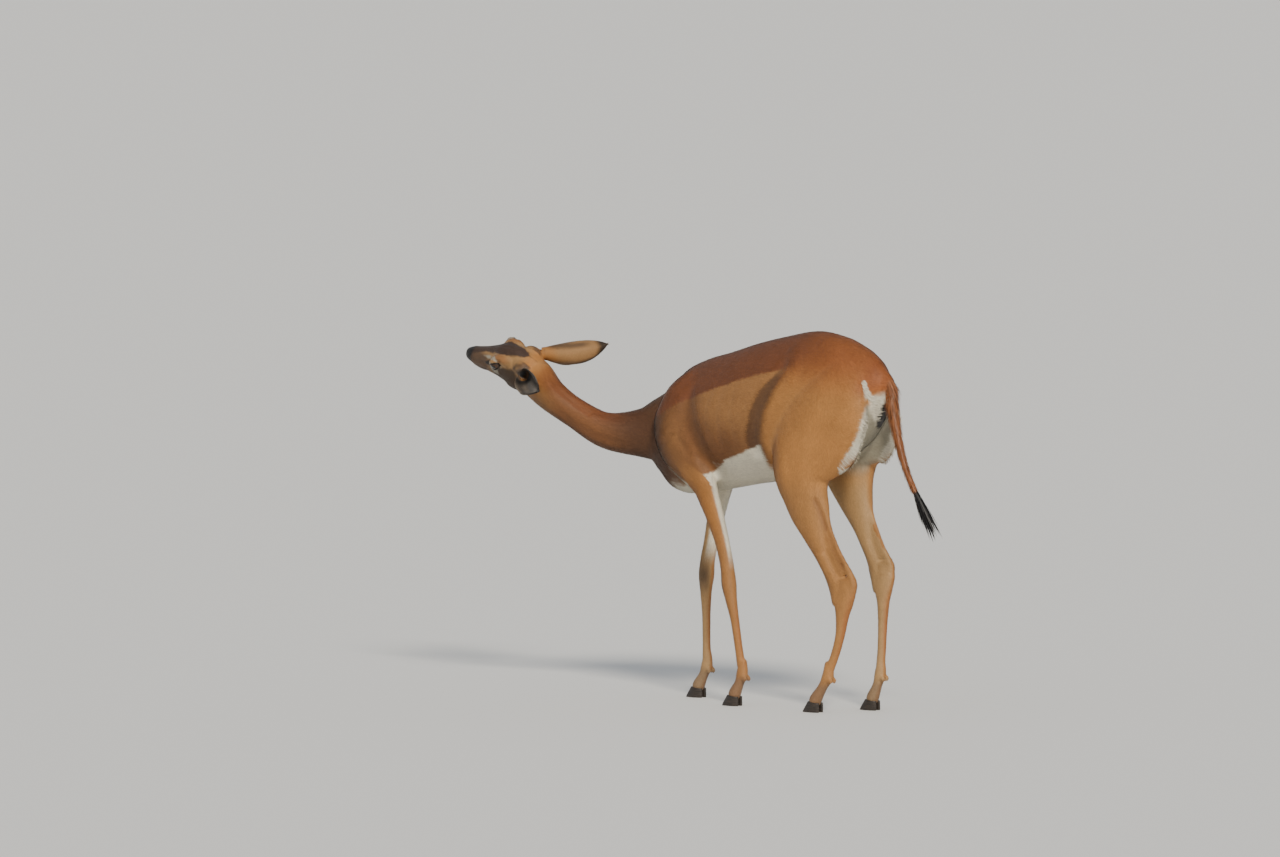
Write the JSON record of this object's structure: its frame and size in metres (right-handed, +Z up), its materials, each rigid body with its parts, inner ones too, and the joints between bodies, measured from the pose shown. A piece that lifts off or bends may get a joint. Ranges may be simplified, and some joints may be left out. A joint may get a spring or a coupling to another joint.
{
  "type": "gerenuk model",
  "caption": "Still, life-size model of a female gerenuk walking slowly, neck stretched forward and muzzle raised to browse, standing on its own four hooves.",
  "frame": {"origin": "on the floor, under the middle of the outer box", "axes": "-X forward along the animal, -Y to its left, +Z up"},
  "size_m": [1.4538, 0.3986, 0.988],
  "materials": {
    "saddle_coat": "short flat hair, dark reddish brown",
    "flank_coat": "short flat hair, reddish fawn",
    "face_coat": "very short hair, dark brown and fawn",
    "ear_coat": "short hair outside, nearly bare grey skin inside",
    "leg_coat": "short flat hair, orange tan",
    "tail_hair": "long hair in a dark tuft",
    "eye": "wet gloss",
    "hoof_horn": "dull horn"
  },
  "bodies": {
    "root": {"torso": "saddle_coat", "neck": "flank_coat", "head": "face_coat", "ear_left": "ear_coat", "ear_right": "ear_coat", "tail": "tail_hair", "hindleg_left": "leg_coat", "hindleg_right": "leg_coat", "foreleg_left": "leg_coat", "foreleg_right": "leg_coat", "eye_left": "eye", "eye_right": "eye", "hoof_hind_left_inner": "hoof_horn", "hoof_hind_left_outer": "hoof_horn", "hoof_hind_right_inner": "hoof_horn", "hoof_hind_right_outer": "hoof_horn", "hoof_fore_left_inner": "hoof_horn", "hoof_fore_left_outer": "hoof_horn", "hoof_fore_right_inner": "hoof_horn", "hoof_fore_right_outer": "hoof_horn"}
  },
  "joints": []
}
